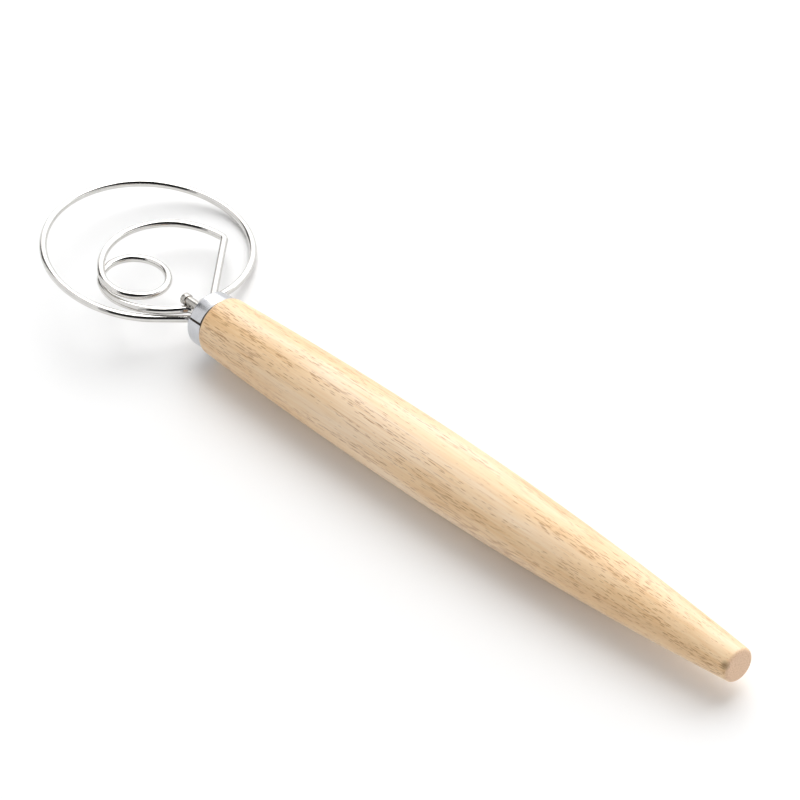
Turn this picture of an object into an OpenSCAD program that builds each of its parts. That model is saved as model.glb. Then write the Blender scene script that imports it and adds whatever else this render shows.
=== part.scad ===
// Dough whisk: a turned wooden handle, a steel ferrule and two bent wires held by a driven nail.
// The handle lies level along X. The origin is the centre of its flat butt, and the head is at +X.
// Z = -belly_d / 2 is the table: the handle's belly and the far side of the outer loop rest on it.

/* [Handle] */
// Length of the wood that shows, from the butt to the ferrule
handle_len = 255; // [180:1:320]
// Diameter of the thickest part of the handle
belly_d = 26.1; // [22:0.1:34]
// Distance of the thickest part from the butt
belly_at = 154; // [60:1:170]
// Diameter at the butt, as if its edge were sharp
butt_d = 12.4; // [9:0.1:20]
// Rounding of the butt's edge
butt_edge = 1.3; // [0.4:0.1:3]
// Diameter of the wood just behind the ferrule
neck_d = 22.0; // [20:0.1:26]
// Length over which the wood's front shoulder is rounded down to the ferrule
shoulder_len = 2.4; // [0.5:0.1:5]

/* [Ferrule] */
// Length of the ferrule that shows
ferrule_len = 7; // [5:0.1:20]
// How far the ferrule lies below the surface of the wood behind it
ferrule_step = 0.7; // [0.3:0.1:1.5]
// Thickness of the rolled sheet
sheet_t = 0.5; // [0.3:0.05:1]
// Rounding where the sheet turns in over the end of the wood
lip_edge = 1.3; // [0.6:0.1:2]
// Width of the lip that is turned in
lip_w = 1.9; // [1.4:0.1:3]
// Width of the open seam
seam_gap = 0.6; // [0.2:0.1:2]
// Place of the seam round the handle, from +Y towards +Z
seam_at = 43; // [0:1:359]
// Clearance between the ferrule and the wood's tenon
tenon_clear = 0.05; // [0.02:0.01:0.2]

/* [Wire] */
// Diameter of the wire
wire_d = 2.8; // [2:0.1:3]
// Length of each wire's tang inside the wood
tang_len = 32; // [15:1:60]
// Clearance round a tang in its drilled hole
tang_clear = 0.1; // [0.02:0.01:0.2]
// Distance of the tangs from the handle's middle plane
tang_side = 2.6; // [2.2:0.1:3.4]
// Height of the lower pair of tangs
low_tang = -2.4; // [-4:0.1:-2]
// Height of the upper pair of tangs above the lower pair
layer_rise = 3.3; // [3.3:0.1:4]
// Radius of the bends at the ferrule
bend_r = 3.5; // [3:0.1:5]

/* [Head] */
// Turn of the head about the handle, which brings its far side down to the table
head_roll = 17.6; // [0:0.1:30]
// Upward tilt of the head from the handle's axis
head_pitch = 7.8; // [0:0.1:15]
// Distance ahead of the ferrule at which the tilt starts
pitch_at = 0.6; // [0.2:0.1:3]

/* [Outer loop] */
// Radius of the loop, to the middle of the wire
ring_r = 37.7; // [34:0.1:46]
// Distance from where the tilt starts to the back of the loop
ring_gap = 4.9; // [4:0.1:8]
// Sideways offset of the loop's centre
ring_side = -8.3; // [-9:0.1:-4]
// Distance of the loop's near bend from where the tilt starts
near_at = 2.3; // [0:0.1:4]
// How much tighter the loop's radius is on its far side, near the handle
side_tighter = 4.4; // [3:0.1:6]
// Direction from the centre at which the tighter side starts
side_from = -98; // [-120:1:-90]

/* [Inner coil] */
// Radius of the large turn
turn_r = 26.1; // [24:0.1:27]
// Distance of the large turn's centre from where the tilt starts
turn_ahead = 25.2; // [24:0.1:27]
// Sideways offset of the large turn's centre
turn_side = -5.8; // [-7:0.1:-5]
// Direction from its centre at which the large turn starts
turn_from = -75; // [-85:1:-70]
// Straight stretch between the sharp corner and the large turn
corner_gap = 3; // [2:0.1:5]
// Radius of the sharp corner
corner_r = 3; // [2:0.1:4]
// Radius of the small turn
small_r = 11.9; // [10:0.1:13]
// Direction from its centre at which the small turn starts
small_from = 61; // [50:1:70]
// Direction from its centre at which the small turn ends, one lap later
small_to = 29; // [20:1:40]
// Drop of the wire as it goes round the small turn, to pass under the large one
coil_drop = 3.5; // [3.3:0.1:4.5]
// Share of the return run after which the wire starts to climb again
climb_from = 0.31; // [0.1:0.01:0.4]
// Heading of the return run where it meets its last bend
return_heading = 245; // [235:1:255]
// Distance of that last bend from where the tilt starts
return_at = 3.4; // [2:0.1:5]

/* [Locking nail] */
// Diameter of the nail's shaft
nail_d = 3.4; // [2:0.1:3.4]
// Diameter of its head
nail_head_d = 4.4; // [4.2:0.1:4.8]
// Length of its head
nail_head_len = 2.6; // [1.5:0.1:4]
// Rounding of the head's edges
nail_head_edge = 0.7; // [0.2:0.1:0.7]
// Distance of the head's outer face from the ferrule
nail_out = 9.9; // [5:0.1:12]
// Length of shaft driven into the wood
nail_depth = 24; // [10:1:50]
// Sideways place of the nail
nail_side = 2.9; // [2.6:0.1:3.2]
// Height of the nail
nail_height = 4.5; // [4.5:0.1:4.8]

/* [Hidden] */
$fn = 64;

mouth_x = handle_len + ferrule_len;
belly_r = belly_d / 2;
butt_r = butt_d / 2;
neck_r = neck_d / 2;
ferrule_r = neck_r - ferrule_step;
tenon_r = ferrule_r - sheet_t - tenon_clear;
tenon_end = mouth_x - sheet_t;
high_tang = low_tang + layer_rise;
profile_steps = 24;
edge_steps = 6;
wire_sides = 12;
wire_step = 2.2;

function unit(a) = [cos(a), sin(a)];
function heading(v) = atan2(v[1], v[0]);

// Points of an arc from angle a to angle b, without its last point
function arc_points(centre, r, a, b) =
    let (steps = max(2, ceil(abs(b - a) * PI / 180 * r / wire_step)))
    [for (i = [0 : steps - 1]) centre + r * unit(a + (b - a) * i / steps)];

// A flat curve with a smooth start and finish, from 0 to 1
function ease(t) = let (c = max(0, min(1, t))) c * c * (3 - 2 * c);

// Outer loop, in the plane of the head
ring_c = [ring_gap + ring_r, ring_side];
side_r = ring_r - side_tighter;
near_bend = [near_at, tang_side + bend_r];
near_dir = heading(ring_c - near_bend) + asin((bend_r + ring_r) / norm(ring_c - near_bend));
near_from = near_bend + bend_r * unit(near_dir - 90);
side_c = ring_c + (ring_r - side_r) * unit(side_from);
side_to = -180 - asin((-tang_side - bend_r - side_c[1]) / (side_r + bend_r));
far_bend = side_c + (side_r + bend_r) * unit(side_to);

// Inner coil, in the plane of the head
turn_c = [turn_ahead, turn_side];
turn_start = turn_c + turn_r * unit(turn_from);
turn_heading = turn_from + 90;
corner = turn_start - corner_gap * unit(turn_heading);
run_bend = [0, -tang_side - bend_r];
run_dir = heading(corner - run_bend) + asin(bend_r / norm(corner - run_bend));
corner_turn = turn_heading - run_dir;
corner_cut = corner_r * tan(corner_turn / 2);
corner_c = corner - corner_cut * unit(run_dir) + corner_r * unit(run_dir + 90);
small_c = turn_c + (turn_r - small_r) * unit(small_from);
small_sweep = 360 + small_to - small_from;
small_end = small_c + small_r * unit(small_to);
last_bend = [return_at, tang_side + bend_r];
return_end = last_bend + bend_r * unit(return_heading + 90);
// The return run is one smooth curve, steered by how far it keeps to the headings of its two ends
return_lead = 13;
return_tail = 17.5;
return_handles = [
    small_end,
    small_end + return_lead * unit(small_to + 90),
    return_end - return_tail * unit(return_heading),
    return_end
];
function bezier(p, t) =
    pow(1 - t, 3) * p[0] + 3 * t * pow(1 - t, 2) * p[1] + 3 * t * t * (1 - t) * p[2] + pow(t, 3) * p[3];

function at_height(points, w) = [for (p = points) [p[0], p[1], w]];
small_points = arc_points(small_c, small_r, small_from, small_from + small_sweep);
return_steps = 22;
coil_flat = concat(
    at_height([[-pitch_at - tang_len, -tang_side]], 0),
    at_height(arc_points(run_bend, bend_r, 90, run_dir + 90), 0),
    at_height([run_bend + bend_r * unit(run_dir + 90)], 0),
    at_height(arc_points(corner_c, corner_r, run_dir - 90, turn_heading - 90), 0),
    at_height([corner + corner_cut * unit(turn_heading)], 0),
    at_height(arc_points(turn_c, turn_r, turn_from, small_from), 0),
    [for (i = [0 : len(small_points) - 1])
        [small_points[i][0], small_points[i][1], -coil_drop * ease(i / len(small_points))]],
    [for (i = [0 : return_steps - 1])
        let (t = i / return_steps, p = bezier(return_handles, t))
        [p[0], p[1], -coil_drop * (1 - ease((t - climb_from) / (1 - climb_from)))]],
    at_height(arc_points(last_bend, bend_r, return_heading + 90, 270), 0),
    at_height([[return_at, tang_side], [0, tang_side], [-pitch_at - tang_len, tang_side]], 0)
);

// The head tilts where it leaves the ferrule, and the tangs behind that run level
function tilted(p, h) = p[0] <= 0
    ? [pitch_at + p[0], p[1], h + p[2]]
    : [pitch_at + p[0] * cos(head_pitch) - p[2] * sin(head_pitch), p[1],
       h + p[0] * sin(head_pitch) + p[2] * cos(head_pitch)];
coil_path = [for (p = coil_flat) tilted(p, high_tang)];
loop_flat = at_height(concat(
    [[-pitch_at - tang_len, tang_side], [0, tang_side]],
    arc_points(near_bend, bend_r, -90, near_dir - 90),
    [near_from],
    arc_points(ring_c, ring_r, near_dir + 90, side_from),
    arc_points(side_c, side_r, side_from, side_to),
    arc_points(far_bend, bend_r, side_to + 180, 90),
    [[far_bend[0], -tang_side], [0, -tang_side], [-pitch_at - tang_len, -tang_side]]
), 0);
loop_path = [for (p = loop_flat) tilted(p, low_tang)];

// Least gaps, measured between points on the middle of the wires. Points of one wire count
// as apart when at least four wire diameters of wire lie between them.
coil_last = len(coil_path) - 1;
coil_steps = [for (i = [1 : coil_last]) norm(coil_path[i] - coil_path[i - 1])];
coil_along = [for (i = 0, s = 0; i <= coil_last; s = s + (i < coil_last ? coil_steps[i] : 0), i = i + 1) s];
coil_gap = min([for (i = [0 : coil_last], j = [i : coil_last])
    if (coil_along[j] - coil_along[i] > 4 * wire_d) norm(coil_path[i] - coil_path[j])]) - wire_d;
loop_gap = min([for (p = coil_path, q = loop_path) if (p[0] > 0 || q[0] > 0) norm(p - q)]) - wire_d;
echo(str("Least gap of the inner coil to itself, mm: ", coil_gap));
echo(str("Least gap between the two wires, mm: ", loop_gap));

module along_x() {
    rotate([90, 0, 90]) children();
}

// The head's own frame: X forward from the ferrule, rolled about the handle
module head_place() {
    translate([mouth_x, 0, 0]) rotate([head_roll, 0, 0]) children();
}

module bar(d, from, to) {
    translate([from, 0, 0]) along_x() cylinder(d = d, h = to - from);
}

module handle_outline() {
    polygon(concat(
        [[0, 0]],
        [for (i = [0 : edge_steps])
            let (a = 90 * i / edge_steps)
            [butt_r - butt_edge * (1 - sin(a)), butt_edge * (1 - cos(a))]],
        [for (i = [1 : profile_steps])
            let (t = 1 - i / profile_steps)
            [belly_r - (belly_r - butt_r) * t * t, butt_edge + (belly_at - butt_edge) * (1 - t)]],
        [for (i = [1 : profile_steps - 1])
            let (t = i / profile_steps)
            [belly_r - (belly_r - neck_r) * t * t, belly_at + (handle_len - shoulder_len - belly_at) * t]],
        [for (i = [0 : edge_steps])
            let (a = 90 * i / edge_steps)
            [neck_r - ferrule_step * (1 - cos(a)), handle_len - shoulder_len * (1 - sin(a))]],
        [[tenon_r, handle_len], [tenon_r, tenon_end - lip_edge]],
        [[tenon_r - lip_edge, tenon_end], [0, tenon_end]]
    ));
}

module handle() {
    color("burlywood") difference() {
        along_x() rotate_extrude() handle_outline();
        head_place() {
            for (side = [-tang_side, tang_side], height = [low_tang, high_tang])
                translate([0, side, height]) bar(wire_d + 2 * tang_clear, -tang_len - tang_clear, 1);
            translate([0, nail_side, nail_height])
                bar(nail_d + 2 * tang_clear, -nail_depth - tang_clear, 1);
        }
    }
}

// Section of the sleeve: the wall, the rounded turn and the lip over the end of the wood
module sheet_section() {
    inner_r = ferrule_r - sheet_t;
    inner_edge = lip_edge - sheet_t;
    polygon(concat(
        [[ferrule_r, handle_len]],
        [for (i = [0 : edge_steps])
            let (a = 90 * i / edge_steps)
            [ferrule_r - lip_edge * (1 - cos(a)), mouth_x - lip_edge * (1 - sin(a))]],
        [[ferrule_r - lip_w, mouth_x], [ferrule_r - lip_w, tenon_end]],
        [for (i = [edge_steps : -1 : 0])
            let (a = 90 * i / edge_steps)
            [inner_r - inner_edge * (1 - cos(a)), tenon_end - inner_edge * (1 - sin(a))]],
        [[inner_r, handle_len]]
    ));
}

module ferrule() {
    gap_angle = seam_gap / ferrule_r * 180 / PI;
    color("silver") along_x() rotate([0, 0, seam_at + gap_angle / 2])
        rotate_extrude(angle = 360 - gap_angle) sheet_section();
}

// One round tube along a path of points, closed by flat ends
module tube(path, d, sides) {
    count = len(path);
    points = [for (i = [0 : count - 1])
        let (before = path[max(i, 1)] - path[max(i, 1) - 1])
        let (after = path[min(i + 1, count - 1)] - path[min(i, count - 2)])
        let (along = before / norm(before) + after / norm(after))
        let (ahead = along / norm(along))
        let (flat = cross([0, 0, 1], ahead))
        let (across = flat / norm(flat))
        let (up = cross(ahead, across))
        for (k = [0 : sides - 1])
            path[i] + d / 2 * (cos(360 * k / sides) * across + sin(360 * k / sides) * up)];
    faces = concat(
        [for (i = [0 : count - 2], k = [0 : sides - 1])
            let (a = i * sides + k, b = i * sides + (k + 1) % sides) [a, a + sides, b]],
        [for (i = [0 : count - 2], k = [0 : sides - 1])
            let (a = i * sides + k, b = i * sides + (k + 1) % sides) [b, a + sides, b + sides]],
        [for (k = [1 : sides - 2]) [0, k, k + 1]],
        [for (k = [1 : sides - 2]) (count - 1) * sides * [1, 1, 1] + [0, k + 1, k]]
    );
    polyhedron(points, faces);
}

module outer_loop() {
    color("gainsboro") head_place() tube(loop_path, wire_d, wire_sides);
}

module inner_coil() {
    color("gainsboro") head_place() tube(coil_path, wire_d, wire_sides);
}

module locking_nail() {
    color("silver") head_place() translate([0, nail_side, nail_height]) {
        bar(nail_d, -nail_depth, nail_out - nail_head_len);
        translate([nail_out - nail_head_len, 0, 0]) along_x() rotate_extrude() polygon(concat(
            [[0, 0]],
            [for (i = [0 : edge_steps])
                let (a = 90 * i / edge_steps)
                [nail_head_d / 2 - nail_head_edge * (1 - sin(a)), nail_head_edge * (1 - cos(a))]],
            [for (i = [0 : edge_steps])
                let (a = 90 * i / edge_steps)
                [nail_head_d / 2 - nail_head_edge * (1 - cos(a)),
                 nail_head_len - nail_head_edge * (1 - sin(a))]],
            [[0, nail_head_len]]
        ));
    }
}

handle();
ferrule();
outer_loop();
inner_coil();
locking_nail();
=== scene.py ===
import math

import bmesh
import bpy
import numpy as np
from mathutils import Matrix, Vector


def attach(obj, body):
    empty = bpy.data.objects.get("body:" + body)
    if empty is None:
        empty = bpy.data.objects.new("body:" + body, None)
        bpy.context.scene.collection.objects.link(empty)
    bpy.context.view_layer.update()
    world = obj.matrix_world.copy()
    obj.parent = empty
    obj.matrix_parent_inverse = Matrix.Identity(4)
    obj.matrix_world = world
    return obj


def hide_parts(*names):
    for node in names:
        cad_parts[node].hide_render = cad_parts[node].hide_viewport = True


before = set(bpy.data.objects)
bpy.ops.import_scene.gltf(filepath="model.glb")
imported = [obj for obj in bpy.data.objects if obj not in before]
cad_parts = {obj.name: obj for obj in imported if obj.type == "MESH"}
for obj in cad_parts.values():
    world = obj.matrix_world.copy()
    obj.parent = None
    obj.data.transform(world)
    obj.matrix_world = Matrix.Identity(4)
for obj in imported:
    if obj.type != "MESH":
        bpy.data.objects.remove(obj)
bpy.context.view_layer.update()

MM = 0.001

# Sizes of the whisk, in millimetres and degrees. Those of the solids are as in the part's source.

# Handle, from the flat butt over the belly to the neck
HANDLE_LEN = 255.0
BELLY_R = 13.05
BELLY_AT = 154.0
BUTT_R = 6.2
BUTT_EDGE = 1.3
BUTT_KNOT = (1.0, 4.6, 4.2)
NECK_R = 11.0
SHOULDER_LEN = 2.4

# Ferrule, a sleeve turned in over the end of the wood
FERRULE_LEN = 7.0
FERRULE_STEP = 0.7
SHEET_T = 0.5
LIP_EDGE = 1.3
LIP_W = 1.9
TENON_CLEAR = 0.05
BURR_R = 0.12

# The seam stands a little open: one edge is lifted off the wood, and the other is drawn forward at the rear
SEAM_GAP = 0.6
SEAM_AT = 43.0
FLAP_ANGLE = 42.0
FLAP_LIFT = 0.5
SLIDE_ANGLE = 75.0
REAR_SLIDE = 0.75

# Wires, with two layers of tangs in the wood
WIRE_D = 2.8
TANG_LEN = 32.0
TANG_SIDE = 2.6
LOW_TANG = -2.4
LAYER_RISE = 3.3
BEND_R = 3.5

# The head's roll about the handle, and its tilt up from it
HEAD_ROLL = 17.6
HEAD_PITCH = 7.8
PITCH_AT = 0.6

# Outer loop: a bend at each foot, a ring and its tighter far side
RING_R = 37.7
NEAR_AT = 2.3
RING_GAP = 4.9
RING_SIDE = -8.3
SIDE_TIGHTER = 4.4
SIDE_FROM = -98.0

# Inner coil: a straight run to a corner, a large turn, a small turn under it, and the way back
TURN_R = 26.1
TURN_C = (25.2, -5.8)
TURN_FROM = -75.0
CORNER_GAP = 3.0
CORNER_R = 3.0
SMALL_R = 11.9
SMALL_FROM = 61.0
SMALL_TO = 29.0
COIL_DROP = 3.5
CLIMB_FROM = 0.31
RETURN_HEADING = 245.0
RETURN_AT = 3.4
RETURN_LEAD = 13.0
RETURN_TAIL = 17.5

# Nail, driven in above the wires
NAIL_R = 1.7
NAIL_HEAD_R = 2.2
NAIL_HEAD_LEN = 2.6
NAIL_HEAD_EDGE = 0.7
NAIL_OUT = 9.9
NAIL_DEPTH = 24.0
NAIL_SIDE = 2.9
NAIL_HEIGHT = 4.5

MOUTH_X = HANDLE_LEN + FERRULE_LEN
FERRULE_R = NECK_R - FERRULE_STEP
TENON_R = FERRULE_R - SHEET_T - TENON_CLEAR
TENON_END = MOUTH_X - SHEET_T
HIGH_TANG = LOW_TANG + LAYER_RISE

# Fineness of the meshes
HANDLE_SIDES = 144
HANDLE_STEPS = 120
NAIL_SIDES = 48
FERRULE_STEPS = 180
WIRE_SIDES = 28
WIRE_STEP = 0.6
CLIMB_STEPS = 80

# The head's own frame: X ahead of the ferrule, rolled about the handle
HEAD = Matrix.Translation((MOUTH_X, 0, 0)) @ Matrix.Rotation(math.radians(HEAD_ROLL), 4, "X")


def mesh_piece(name, points, faces, material, smooth_angle=35.0):
    """A piece in metres from points in millimetres, sharp at the edges that turn more than smooth_angle."""
    mesh = bpy.data.meshes.new(name)
    mesh.from_pydata([tuple(c * MM for c in p) for p in points], [], faces)
    work = bmesh.new()
    work.from_mesh(mesh)
    bmesh.ops.remove_doubles(work, verts=work.verts, dist=1e-7)
    bmesh.ops.recalc_face_normals(work, faces=work.faces)
    for face in work.faces:
        face.smooth = True
    for edge in work.edges:
        edge.smooth = edge.is_manifold and edge.calc_face_angle() < math.radians(smooth_angle)
    work.to_mesh(mesh)
    work.free()
    mesh.materials.append(material)
    piece = bpy.data.objects.new(name, mesh)
    bpy.context.scene.collection.objects.link(piece)
    return piece


def hand_over(piece, node):
    """The piece is attached to the root body and stands in for the node's part, which is hidden."""
    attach(piece, "root")
    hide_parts(node)


def lathe(outline, sides):
    """Points and faces of a body turned about X. Its outline of (x, radius) starts and ends on the axis."""
    points = [(outline[0][0], 0, 0)]
    faces = []
    inner = outline[1:-1]
    for x, r in inner:
        for k in range(sides):
            a = 2 * math.pi * k / sides
            points.append((x, r * math.cos(a), r * math.sin(a)))
    points.append((outline[-1][0], 0, 0))
    last = len(points) - 1
    for k in range(sides):
        n = (k + 1) % sides
        faces.append((0, 1 + n, 1 + k))
        for i in range(len(inner) - 1):
            a, b = 1 + i * sides, 1 + (i + 1) * sides
            faces.append((a + k, a + n, b + n, b + k))
        top = 1 + (len(inner) - 1) * sides
        faces.append((top + k, top + n, last))
    return points, faces


def placed(points, matrix):
    return [tuple(matrix @ Vector(p)) for p in points]


# The wires' paths

def unit(degrees):
    a = math.radians(degrees)
    return np.array([math.cos(a), math.sin(a)])


def heading(v):
    return math.degrees(math.atan2(v[1], v[0]))


def arc(centre, r, a, b):
    """Points of an arc from angle a to angle b, without its last point."""
    steps = max(2, math.ceil(abs(math.radians(b - a)) * r / WIRE_STEP))
    return [np.array(centre) + r * unit(a + (b - a) * i / steps) for i in range(steps)]


def ease(t):
    c = min(1.0, max(0.0, t))
    return c * c * (3 - 2 * c)


def tilted(p, w, h):
    """A point of the head's flat layout, with its height w over it, in the head's own frame."""
    if p[0] <= 0:
        return np.array([PITCH_AT + p[0], p[1], h + w])
    c, s = math.cos(math.radians(HEAD_PITCH)), math.sin(math.radians(HEAD_PITCH))
    return np.array([PITCH_AT + p[0] * c - w * s, p[1], h + p[0] * s + w * c])


def outer_loop_path():
    ring_c = np.array([RING_GAP + RING_R, RING_SIDE])
    side_r = RING_R - SIDE_TIGHTER
    near_bend = np.array([NEAR_AT, TANG_SIDE + BEND_R])
    to_ring = ring_c - near_bend
    near_dir = heading(to_ring) + math.degrees(math.asin((BEND_R + RING_R) / np.linalg.norm(to_ring)))
    side_c = ring_c + (RING_R - side_r) * unit(SIDE_FROM)
    side_to = -180 - math.degrees(math.asin((-TANG_SIDE - BEND_R - side_c[1]) / (side_r + BEND_R)))
    far_bend = side_c + (side_r + BEND_R) * unit(side_to)
    flat = [np.array([-PITCH_AT - TANG_LEN, TANG_SIDE])]
    flat += [np.array([0, TANG_SIDE])]
    flat += arc(near_bend, BEND_R, -90, near_dir - 90)
    flat += [near_bend + BEND_R * unit(near_dir - 90)]
    flat += arc(ring_c, RING_R, near_dir + 90, SIDE_FROM)
    flat += arc(side_c, side_r, SIDE_FROM, side_to)
    flat += arc(far_bend, BEND_R, side_to + 180, 90)
    flat += [np.array([far_bend[0], -TANG_SIDE]), np.array([0, -TANG_SIDE])]
    flat += [np.array([-PITCH_AT - TANG_LEN, -TANG_SIDE])]
    return [tilted(p, 0, LOW_TANG) for p in flat]


def inner_coil_path():
    turn_c = np.array(TURN_C)
    turn_heading = TURN_FROM + 90
    corner = turn_c + TURN_R * unit(TURN_FROM) - CORNER_GAP * unit(turn_heading)
    run_bend = np.array([0, -TANG_SIDE - BEND_R])
    to_corner = corner - run_bend
    run_dir = heading(to_corner) + math.degrees(math.asin(BEND_R / np.linalg.norm(to_corner)))
    cut = CORNER_R * math.tan(math.radians(turn_heading - run_dir) / 2)
    corner_c = corner - cut * unit(run_dir) + CORNER_R * unit(run_dir + 90)
    small_c = turn_c + (TURN_R - SMALL_R) * unit(SMALL_FROM)
    small_end = small_c + SMALL_R * unit(SMALL_TO)
    last_bend = np.array([RETURN_AT, TANG_SIDE + BEND_R])
    return_end = last_bend + BEND_R * unit(RETURN_HEADING + 90)
    lead = small_end + RETURN_LEAD * unit(SMALL_TO + 90)
    tail = return_end - RETURN_TAIL * unit(RETURN_HEADING)

    level = [np.array([-PITCH_AT - TANG_LEN, -TANG_SIDE])]
    level += arc(run_bend, BEND_R, 90, run_dir + 90)
    level += [run_bend + BEND_R * unit(run_dir + 90)]
    level += arc(corner_c, CORNER_R, run_dir - 90, turn_heading - 90)
    level += [corner + cut * unit(turn_heading)]
    level += arc(turn_c, TURN_R, TURN_FROM, SMALL_FROM)
    path = [(p, 0.0) for p in level]
    small = arc(small_c, SMALL_R, SMALL_FROM, 360 + SMALL_TO)
    path += [(p, -COIL_DROP * ease(i / len(small))) for i, p in enumerate(small)]
    for i in range(CLIMB_STEPS):
        t = i / CLIMB_STEPS
        weights = ((1 - t) ** 3, 3 * t * (1 - t) ** 2, 3 * t * t * (1 - t), t ** 3)
        p = sum(w * corner for w, corner in zip(weights, (small_end, lead, tail, return_end)))
        path.append((p, -COIL_DROP * (1 - ease((t - CLIMB_FROM) / (1 - CLIMB_FROM)))))
    path += [(p, 0.0) for p in arc(last_bend, BEND_R, RETURN_HEADING + 90, 270)]
    path += [(np.array([x, TANG_SIDE]), 0.0) for x in (RETURN_AT, 0, -PITCH_AT - TANG_LEN)]
    return [tilted(p, w, HIGH_TANG) for p, w in path]


def tube(path, d, sides):
    """Points and faces of a round wire along a path, closed by flat ends."""
    path = np.array(path)
    last = len(path) - 1
    points = []
    for i in range(last + 1):
        steps = [path[k + 1] - path[k] for k in (i - 1, i) if 0 <= k < last]
        ahead = sum(step / np.linalg.norm(step) for step in steps)
        ahead /= np.linalg.norm(ahead)
        across = np.cross([0, 0, 1], ahead)
        across /= np.linalg.norm(across)
        up = np.cross(ahead, across)
        for k in range(sides):
            a = 2 * math.pi * k / sides
            points.append(path[i] + d / 2 * (math.cos(a) * across + math.sin(a) * up))
    faces = [tuple(range(sides)), tuple(last * sides + k for k in range(sides))]
    for i in range(last):
        for k in range(sides):
            a, b = i * sides + k, i * sides + (k + 1) % sides
            faces.append((a, b, b + sides, a + sides))
    return points, faces


# Materials

# The colour sockets of a Mix node, whose names its number sockets share
COLOUR_A = 6
COLOUR_B = 7
COLOUR_OUT = 2


def linear(code):
    """An sRGB hex colour as linear red, green, blue and alpha."""
    parts = [int(code[i:i + 2], 16) / 255 for i in (1, 3, 5)]
    return [c / 12.92 if c <= 0.04045 else ((c + 0.055) / 1.055) ** 2.4 for c in parts] + [1.0]


def add(tree, kind, inputs=None, stops=(), **settings):
    """Adds a node. An input is a value or the socket that feeds it. Stops are a ramp's places and colours."""
    made = tree.nodes.new(kind)
    for name, value in settings.items():
        setattr(made, name, value)
    for name, value in (inputs or {}).items():
        if isinstance(value, bpy.types.NodeSocket):
            tree.links.new(value, made.inputs[name])
        else:
            made.inputs[name].default_value = value
    for i, (place, value) in enumerate(stops):
        if i >= len(made.color_ramp.elements):
            made.color_ramp.elements.new(place)
        made.color_ramp.elements[i].position = place
        colour = linear(value) if isinstance(value, str) else (value, value, value, 1.0)
        made.color_ramp.elements[i].color = colour
    return made


def new_material(name):
    material = bpy.data.materials.new(name)
    material.use_nodes = True
    material.node_tree.nodes.clear()
    return material, material.node_tree


def grain(along, across):
    """The scale at which a pattern's unit is that many millimetres along X and across it."""
    return 1 / (along * MM), 1 / (across * MM), 1 / (across * MM)


def streaks(tree, along, across, detail):
    """Noise in streaks that many millimetres long, along X, and that many wide."""
    place = add(tree, "ShaderNodeTexCoord").outputs["Object"]
    drawn_out = add(tree, "ShaderNodeVectorMath", {0: place, 1: grain(along, across)}, operation="MULTIPLY")
    return add(tree, "ShaderNodeTexNoise", {
        "Vector": drawn_out.outputs["Vector"], "Scale": 1.0, "Detail": detail,
    }).outputs["Fac"]


def wood_pores(tree, place):
    """1 in a pore and 0 beside it. The pores crowd together in some growth bands.

    Cut lengthwise they are dashes 2 to 5 mm long, drawn up to 0.4 mm wide, coarser than the real 0.2 mm.
    """
    crowd = streaks(tree, 70, 4, 2.0)
    cells = add(tree, "ShaderNodeVectorMath", {0: place, 1: grain(6, 0.5)}, operation="MULTIPLY")
    nearest = add(tree, "ShaderNodeTexVoronoi", {"Vector": cells.outputs["Vector"], "Scale": 1.0})
    size = add(tree, "ShaderNodeMapRange", {
        "Value": crowd, "From Min": 0.36, "From Max": 0.6, "To Min": 0.14, "To Max": 0.4,
    })
    inside = add(tree, "ShaderNodeMath", {0: size.outputs["Result"], 1: nearest.outputs["Distance"]},
                 operation="SUBTRACT")
    dash = add(tree, "ShaderNodeValToRGB", {"Fac": inside.outputs["Value"]}, stops=((0.0, 0.0), (0.1, 1.0)))
    # Between them run finer lines, longer and fainter
    fine = add(tree, "ShaderNodeMath", {0: crowd, 1: 0.4, 2: streaks(tree, 20, 0.26, 1.0)},
               operation="MULTIPLY_ADD")
    faint = add(tree, "ShaderNodeValToRGB", {"Fac": fine.outputs["Value"]},
                stops=((0.82, 0.0), (0.88, 0.7)))
    return add(tree, "ShaderNodeMath", {0: dash.outputs["Color"], 1: faint.outputs["Color"]},
               operation="MAXIMUM").outputs["Value"]


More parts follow.
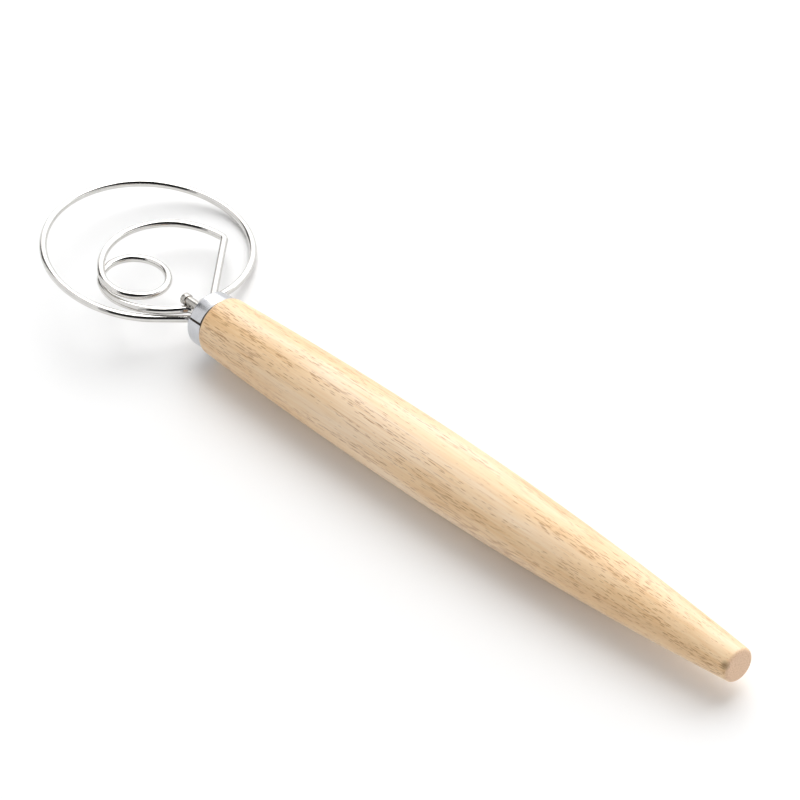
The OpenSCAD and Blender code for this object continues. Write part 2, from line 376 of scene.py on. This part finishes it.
def rubberwood():
    """Rubberwood, turned and sanded bare: straw to peach, softly streaked, its open pores brown dashes."""
    material, tree = new_material("rubberwood")
    place = add(tree, "ShaderNodeTexCoord").outputs["Object"]
    bands = streaks(tree, 120, 9, 3.0)
    fibre = streaks(tree, 30, 0.7, 3.0)
    tone = add(tree, "ShaderNodeValToRGB", {"Fac": bands},
               stops=((0.3, "#FAE3C7"), (0.46, "#F7D9B2"), (0.58, "#F1CEA0"), (0.74, "#E7C191")))
    streak = add(tree, "ShaderNodeValToRGB", {"Fac": fibre}, stops=((0.3, "#F5E9D8"), (0.62, "#FFFFFF")))
    wood = add(tree, "ShaderNodeMix", {
        0: 0.75, COLOUR_A: tone.outputs["Color"], COLOUR_B: streak.outputs["Color"],
    }, data_type="RGBA", blend_type="MULTIPLY")
    pore = wood_pores(tree, place)
    ink = add(tree, "ShaderNodeMath", {0: pore, 1: 0.64}, operation="MULTIPLY")
    face = add(tree, "ShaderNodeMix", {
        0: ink.outputs["Value"], COLOUR_A: wood.outputs[COLOUR_OUT], COLOUR_B: linear("#A0672F"),
    }, data_type="RGBA")
    # Painted shade: the tenon and the last 0.3 mm of the shoulder are coloured a dark brown grey. This stands
    # in for the shade in the seam's gap and under the sheet's lifted, drawn-forward rear edge
    along = add(tree, "ShaderNodeSeparateXYZ", {0: place}).outputs["X"]
    under = add(tree, "ShaderNodeMapRange", {
        "Value": along, "From Min": (HANDLE_LEN - 0.3) * MM, "From Max": HANDLE_LEN * MM,
    })
    face = add(tree, "ShaderNodeMix", {
        0: under.outputs["Result"], COLOUR_A: face.outputs[COLOUR_OUT], COLOUR_B: linear("#5C4D40"),
    }, data_type="RGBA")
    # End grain: duller and pinker, with the pores cut across as specks
    to_butt = add(tree, "ShaderNodeMapRange", {
        "Value": along, "From Min": 0.15 * MM, "From Max": 0.9 * MM, "To Min": 1.0, "To Max": 0.0,
    })
    to_tip = add(tree, "ShaderNodeMapRange", {
        "Value": along, "From Min": (TENON_END - 0.1) * MM, "From Max": TENON_END * MM,
    })
    end = add(tree, "ShaderNodeMath", {0: to_butt.outputs["Result"], 1: to_tip.outputs["Result"]},
              operation="MAXIMUM")
    speck = add(tree, "ShaderNodeValToRGB", {"Fac": streaks(tree, 4, 0.5, 2.0)},
                stops=((0.3, "#D2AC8A"), (0.5, "#E0BC9B"), (0.7, "#E8C6A8")))
    colour = add(tree, "ShaderNodeMix", {
        0: end.outputs["Value"], COLOUR_A: face.outputs[COLOUR_OUT], COLOUR_B: speck.outputs["Color"],
    }, data_type="RGBA")
    # One dark olive spot at the rim of the butt, where a knot was turned away
    from_knot = add(tree, "ShaderNodeVectorMath", {0: place, 1: [v * MM for v in BUTT_KNOT]},
                    operation="DISTANCE")
    knot = add(tree, "ShaderNodeMapRange", {
        "Value": from_knot.outputs["Value"], "From Min": 0.6 * MM, "From Max": 2.0 * MM,
        "To Min": 0.65, "To Max": 0.0,
    })
    colour = add(tree, "ShaderNodeMix", {
        0: knot.outputs["Result"], COLOUR_A: colour.outputs[COLOUR_OUT], COLOUR_B: linear("#80643C"),
    }, data_type="RGBA")
    depth = add(tree, "ShaderNodeMath", {0: pore, 1: -1.0, 2: fibre}, operation="MULTIPLY_ADD")
    relief = add(tree, "ShaderNodeBump", {
        "Strength": 0.15, "Distance": 0.08 * MM, "Height": depth.outputs["Value"],
    })
    rough = add(tree, "ShaderNodeValToRGB", {"Fac": fibre}, stops=((0.3, 0.3), (0.7, 0.42)))
    shader = add(tree, "ShaderNodeBsdfPrincipled", {
        "Base Color": colour.outputs[COLOUR_OUT], "Roughness": rough.outputs["Color"], "IOR": 1.54,
        "Normal": relief.outputs["Normal"],
    })
    add(tree, "ShaderNodeOutputMaterial", {"Surface": shader.outputs["BSDF"]})
    return material


def bright_metal(name, tones, roughness, marks, relief_depth):
    """A bare metal with faint marks of that many millimetres in its colour, its gloss and its surface."""
    material, tree = new_material(name)
    cloud = streaks(tree, marks[0], marks[1], 3.0)
    tone = add(tree, "ShaderNodeValToRGB", {"Fac": cloud}, stops=((0.3, tones[0]), (0.7, tones[1])))
    rough = add(tree, "ShaderNodeValToRGB", {"Fac": cloud}, stops=((0.35, roughness[0]), (0.7, roughness[1])))
    relief = add(tree, "ShaderNodeBump", {"Strength": 0.1, "Distance": relief_depth * MM, "Height": cloud})
    shader = add(tree, "ShaderNodeBsdfPrincipled", {
        "Base Color": tone.outputs["Color"], "Metallic": 1.0, "Roughness": rough.outputs["Color"],
        "Normal": relief.outputs["Normal"],
    })
    add(tree, "ShaderNodeOutputMaterial", {"Surface": shader.outputs["BSDF"]})
    return material


def bright_wire():
    """Stainless spring wire, drawn bright: a near mirror with faint smears from handling."""
    return bright_metal("bright_stainless_wire", ("#CFCDCA", "#D8D6D3"), (0.03, 0.06), (5, 3), 0.02)


def zinc_plated_sheet():
    """Sheet steel, rolled and zinc plated: a cool satin grey with faint lines round the sleeve."""
    return bright_metal("zinc_plated_sheet", ("#C3C4C8", "#CDCED1"), (0.18, 0.26), (1.2, 4), 0.02)


def nail_steel():
    """Plain steel wire nail: a warm grey, half bright, with small cold-heading marks."""
    return bright_metal("nail_steel", ("#A9A6A1", "#BDBAB5"), (0.07, 0.14), (0.6, 0.6), 0.05)


# Pieces

def quarter(steps=8):
    """Sine and cosine pairs of a quarter turn."""
    return [(math.sin(math.pi / 2 * i / steps), math.cos(math.pi / 2 * i / steps)) for i in range(steps + 1)]


def make_handle(material):
    to_neck = HANDLE_LEN - SHOULDER_LEN - BELLY_AT
    # The rings on both flat ends keep their faces small
    outline = [(0, 0)]
    outline += [(0, r) for r in (1.5, 3.2)]
    outline += [(BUTT_EDGE * (1 - c), BUTT_R - BUTT_EDGE + BUTT_EDGE * s) for s, c in quarter()]
    for i in range(1, HANDLE_STEPS + 1):
        t = 1 - i / HANDLE_STEPS
        outline.append((BUTT_EDGE + (BELLY_AT - BUTT_EDGE) * (1 - t), BELLY_R - (BELLY_R - BUTT_R) * t * t))
    for i in range(1, HANDLE_STEPS):
        t = i / HANDLE_STEPS
        outline.append((BELLY_AT + to_neck * t, BELLY_R - (BELLY_R - NECK_R) * t * t))
    outline += [(HANDLE_LEN - SHOULDER_LEN * (1 - s), NECK_R - FERRULE_STEP * (1 - c)) for s, c in quarter()]
    outline += [(HANDLE_LEN, TENON_R), (TENON_END - LIP_EDGE, TENON_R), (TENON_END, TENON_R - LIP_EDGE)]
    outline += [(TENON_END, r) for r in (6.0, 3.0)] + [(TENON_END, 0)]
    piece = mesh_piece("turned_handle", *lathe(outline, HANDLE_SIDES), material)
    hand_over(piece, "handle")


def make_ferrule(material):
    inner_r = FERRULE_R - SHEET_T
    inner_edge = LIP_EDGE - SHEET_T
    section = [(HANDLE_LEN + BURR_R * (1 - s), FERRULE_R - BURR_R * (1 - c)) for s, c in quarter(3)]
    section += [(MOUTH_X - LIP_EDGE * (1 - s), FERRULE_R - LIP_EDGE * (1 - c)) for s, c in quarter()]
    section += [(MOUTH_X - BURR_R * (1 - c), FERRULE_R - LIP_W + BURR_R * (1 - s)) for s, c in quarter(3)]
    section += [(TENON_END, FERRULE_R - LIP_W + BURR_R)]
    section += [(TENON_END - inner_edge * (1 - c), inner_r - inner_edge * (1 - s)) for s, c in quarter()]
    section += [(HANDLE_LEN, inner_r)]
    gap = math.degrees(SEAM_GAP / FERRULE_R)
    first, span = SEAM_AT + gap / 2, 360 - gap
    points = []
    for i in range(FERRULE_STEPS + 1):
        swept = span * i / FERRULE_STEPS
        a = math.radians(first + swept)
        into_flap = max(0.0, (swept - (span - FLAP_ANGLE)) / FLAP_ANGLE)
        lift = FLAP_LIFT * into_flap ** 2
        slide = REAR_SLIDE * max(0.0, 1 - swept / SLIDE_ANGLE)
        for x, r in section:
            rear = slide if x < HANDLE_LEN + 2 * BURR_R else 0
            points.append((x + rear, (r + lift) * math.cos(a), (r + lift) * math.sin(a)))
    n = len(section)
    faces = [tuple(range(n)), tuple(FERRULE_STEPS * n + k for k in range(n))]
    for i in range(FERRULE_STEPS):
        for k in range(n):
            a, b = i * n + k, i * n + (k + 1) % n
            faces.append((a, b, b + n, a + n))
    hand_over(mesh_piece("rolled_ferrule", points, faces, material), "ferrule")


def make_wires(material):
    for name, node, path in (("outer_wire_loop", "outer_loop", outer_loop_path()),
                             ("inner_wire_coil", "inner_coil", inner_coil_path())):
        points, faces = tube(path, WIRE_D, WIRE_SIDES)
        hand_over(mesh_piece(name, placed(points, HEAD), faces, material, smooth_angle=60.0), node)


def make_nail(material):
    neck = NAIL_OUT - NAIL_HEAD_LEN
    flat_r = NAIL_HEAD_R - NAIL_HEAD_EDGE
    outline = [(-NAIL_DEPTH, 0), (-NAIL_DEPTH, NAIL_R), (neck, NAIL_R)]
    outline += [(neck + NAIL_HEAD_EDGE * (1 - c), flat_r + NAIL_HEAD_EDGE * s) for s, c in quarter(5)]
    outline += [(NAIL_OUT - NAIL_HEAD_EDGE * (1 - s), flat_r + NAIL_HEAD_EDGE * c) for s, c in quarter(5)]
    outline += [(NAIL_OUT, 0)]
    points, faces = lathe(outline, NAIL_SIDES)
    place = HEAD @ Matrix.Translation((0, NAIL_SIDE, NAIL_HEIGHT))
    hand_over(mesh_piece("driven_nail", placed(points, place), faces, material), "locking_nail")


# Studio

CAMERA_TARGET = (171.7, -10.9, 5.3)
CAMERA_DISTANCE = 1693.5
CAMERA_HEADING = -29.75
CAMERA_HEIGHT_ANGLE = 45.71
CAMERA_ROLL = -18.37
CAMERA_LENS = 225.0
FLOOR_GAP = 0.02
FLOOR_HALF = 6000.0
ROOM_LEVEL = 0.5
CARD_CENTRE = Vector((200, -10, 0))
CARD_STEPS = 12


def make_camera():
    """A long lens from behind the butt, above and to the left, rolled as the photograph is."""
    a, e, roll = (math.radians(v) for v in (CAMERA_HEADING, CAMERA_HEIGHT_ANGLE, CAMERA_ROLL))
    forward = Vector((math.cos(e) * math.cos(a), math.cos(e) * math.sin(a), -math.sin(e)))
    level_right = forward.cross(Vector((0, 0, 1))).normalized()
    level_up = level_right.cross(forward)
    right = math.cos(roll) * level_right + math.sin(roll) * level_up
    up = math.cos(roll) * level_up - math.sin(roll) * level_right
    data = bpy.data.cameras.new("photo_camera")
    data.lens = CAMERA_LENS
    camera = bpy.data.objects.new("photo_camera", data)
    bpy.context.scene.collection.objects.link(camera)
    place = Matrix((right, up, -forward)).transposed().to_4x4()
    place.translation = (Vector(CAMERA_TARGET) - forward * CAMERA_DISTANCE) * MM
    camera.matrix_world = place
    bpy.context.scene.camera = camera


def white_to_the_eye(tree):
    """1 for camera, glossy and transmission rays, and 0 for the rays that light the whisk."""
    path = add(tree, "ShaderNodeLightPath")
    either = add(tree, "ShaderNodeMath", {0: path.outputs["Is Camera Ray"], 1: path.outputs["Is Glossy Ray"]},
                 operation="MAXIMUM")
    return add(tree, "ShaderNodeMath", {0: either.outputs["Value"], 1: path.outputs["Is Transmission Ray"]},
               operation="MAXIMUM").outputs["Value"]


def make_floor():
    """A white table top that keeps the shadows."""
    material, tree = new_material("table_top")
    matt = add(tree, "ShaderNodeBsdfDiffuse", {"Color": linear("#FBFBFB")})
    add(tree, "ShaderNodeOutputMaterial", {"Surface": matt.outputs["BSDF"]})
    z = -BELLY_R - FLOOR_GAP
    corners = [(x * FLOOR_HALF, y * FLOOR_HALF, z) for x, y in ((-1, -1), (1, -1), (1, 1), (-1, 1))]
    mesh_piece("table", corners, [(0, 1, 2, 3)], material)


def make_card(name, seen, given, across, upright, distance):
    """A glowing card bent round the whisk: how bright it is in a reflection, and how much light it gives.

    across is its heading and its width, and upright its lowest and highest angle over the table, in degrees.
    """
    material, tree = new_material(name)
    level = add(tree, "ShaderNodeMapRange", {
        "Value": white_to_the_eye(tree), "To Min": given, "To Max": seen,
    })
    glow = add(tree, "ShaderNodeEmission", {
        "Color": linear("#FFFFFF"), "Strength": level.outputs["Result"],
    })
    add(tree, "ShaderNodeOutputMaterial", {"Surface": glow.outputs["Emission"]})
    direction, width = across
    low, high = upright
    points = []
    for i in range(CARD_STEPS + 1):
        a = math.radians(direction + width * (i / CARD_STEPS - 0.5))
        for j in range(CARD_STEPS + 1):
            e = math.radians(low + (high - low) * j / CARD_STEPS)
            away = Vector((math.cos(e) * math.cos(a), math.cos(e) * math.sin(a), math.sin(e)))
            points.append(CARD_CENTRE + away * distance)
    row = CARD_STEPS + 1
    corners = [i * row + j for i in range(CARD_STEPS) for j in range(CARD_STEPS)]
    faces = [(k, k + row, k + row + 1, k + 1) for k in corners]
    card = mesh_piece(name, points, faces, material)
    card.visible_camera = False


def make_lights():
    """A white room, a high and a low soft box on the whisk's right, and dark things that the wire mirrors."""
    bpy.context.scene.view_settings.view_transform = "Standard"
    world = bpy.data.worlds.new("studio")
    bpy.context.scene.world = world
    world.use_nodes = True
    tree = world.node_tree
    tree.nodes.clear()
    level = add(tree, "ShaderNodeMapRange", {
        "Value": white_to_the_eye(tree), "To Min": ROOM_LEVEL, "To Max": 1.0,
    })
    room = add(tree, "ShaderNodeBackground", {
        "Color": linear("#FFFFFF"), "Strength": level.outputs["Result"],
    })
    add(tree, "ShaderNodeOutputWorld", {"Surface": room.outputs["Background"]})
    make_card("soft_box", 4.5, 3.3, (-92, 124), (36, 86), 20000)
    make_card("low_soft_box", 1.9, 1.5, (-85, 130), (3, 36), 20000)
    make_card("grey_card", 0.5, 0.5, (166, 140), (10, 79), 19000)
    # The camera's side of the room, dark in the wire, but still a light for the rest
    make_card("dark_card", 0.02, 0.45, (160, 104), (19, 71), 18000)
    make_card("boom", 0.15, 3.5, (-128, 28), (54, 74), 18000)
    make_card("light_stand", 0.08, 0.5, (5, 20), (8, 50), 18000)


make_camera()
make_floor()
make_lights()
make_handle(rubberwood())
make_ferrule(zinc_plated_sheet())
make_wires(bright_wire())
make_nail(nail_steel())
